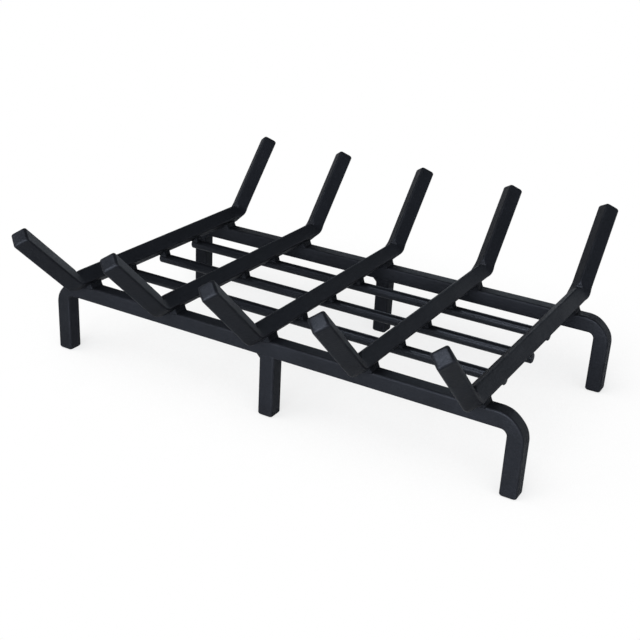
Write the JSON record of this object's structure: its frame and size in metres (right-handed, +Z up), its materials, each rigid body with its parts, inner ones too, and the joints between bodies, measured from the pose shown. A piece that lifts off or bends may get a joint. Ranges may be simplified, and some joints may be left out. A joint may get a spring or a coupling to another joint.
{
  "type": "log grate",
  "caption": "Welded log grate: square bars on edge, bent up at both ends, laid over bent rails that form the legs, with round ember rods between the rails.",
  "frame": {"origin": "on the floor, at the middle of the box that the grate fills", "axes": "+X to the right along the rails, +Y to the back of the hearth, +Z up"},
  "size_m": [0.61, 0.5194, 0.2054],
  "materials": {
    "bar_paint": "satin black heat-proof paint over mill-finish square bar",
    "rail_paint": "satin black heat-proof paint over mill-finish square bar",
    "rod_paint": "satin black heat-proof paint over round rod",
    "weld_paint": "satin black heat-proof paint over rippled weld beads"
  },
  "bodies": {
    "root": {"log_bar_1": "bar_paint", "log_bar_2": "bar_paint", "log_bar_3": "bar_paint", "log_bar_4": "bar_paint", "log_bar_5": "bar_paint", "front_rail": "rail_paint", "front_middle_leg": "rail_paint", "rear_rail": "rail_paint", "rear_middle_leg": "rail_paint", "front_rod": "rod_paint", "middle_rod": "rod_paint", "rear_rod": "rod_paint", "weld_front_rail_bar_1_left": "weld_paint", "weld_front_rail_bar_1_right": "weld_paint", "weld_rear_rail_bar_1_left": "weld_paint", "weld_rear_rail_bar_1_right": "weld_paint", "weld_front_rod_bar_1": "weld_paint", "weld_middle_rod_bar_1": "weld_paint", "weld_rear_rod_bar_1": "weld_paint", "weld_front_rail_bar_2_left": "weld_paint", "weld_front_rail_bar_2_right": "weld_paint", "weld_rear_rail_bar_2_left": "weld_paint", "weld_rear_rail_bar_2_right": "weld_paint", "weld_front_rod_bar_2": "weld_paint", "weld_middle_rod_bar_2": "weld_paint", "weld_rear_rod_bar_2": "weld_paint", "weld_front_rail_bar_3_left": "weld_paint", "weld_front_rail_bar_3_right": "weld_paint", "weld_rear_rail_bar_3_left": "weld_paint", "weld_rear_rail_bar_3_right": "weld_paint", "weld_front_rod_bar_3": "weld_paint", "weld_middle_rod_bar_3": "weld_paint", "weld_rear_rod_bar_3": "weld_paint", "weld_front_rail_bar_4_left": "weld_paint", "weld_front_rail_bar_4_right": "weld_paint", "weld_rear_rail_bar_4_left": "weld_paint", "weld_rear_rail_bar_4_right": "weld_paint", "weld_front_rod_bar_4": "weld_paint", "weld_middle_rod_bar_4": "weld_paint", "weld_rear_rod_bar_4": "weld_paint", "weld_front_rail_bar_5_left": "weld_paint", "weld_front_rail_bar_5_right": "weld_paint", "weld_rear_rail_bar_5_left": "weld_paint", "weld_rear_rail_bar_5_right": "weld_paint", "weld_front_rod_bar_5": "weld_paint", "weld_middle_rod_bar_5": "weld_paint", "weld_rear_rod_bar_5": "weld_paint", "weld_front_middle_leg": "weld_paint", "weld_rear_middle_leg": "weld_paint"}
  },
  "joints": []
}
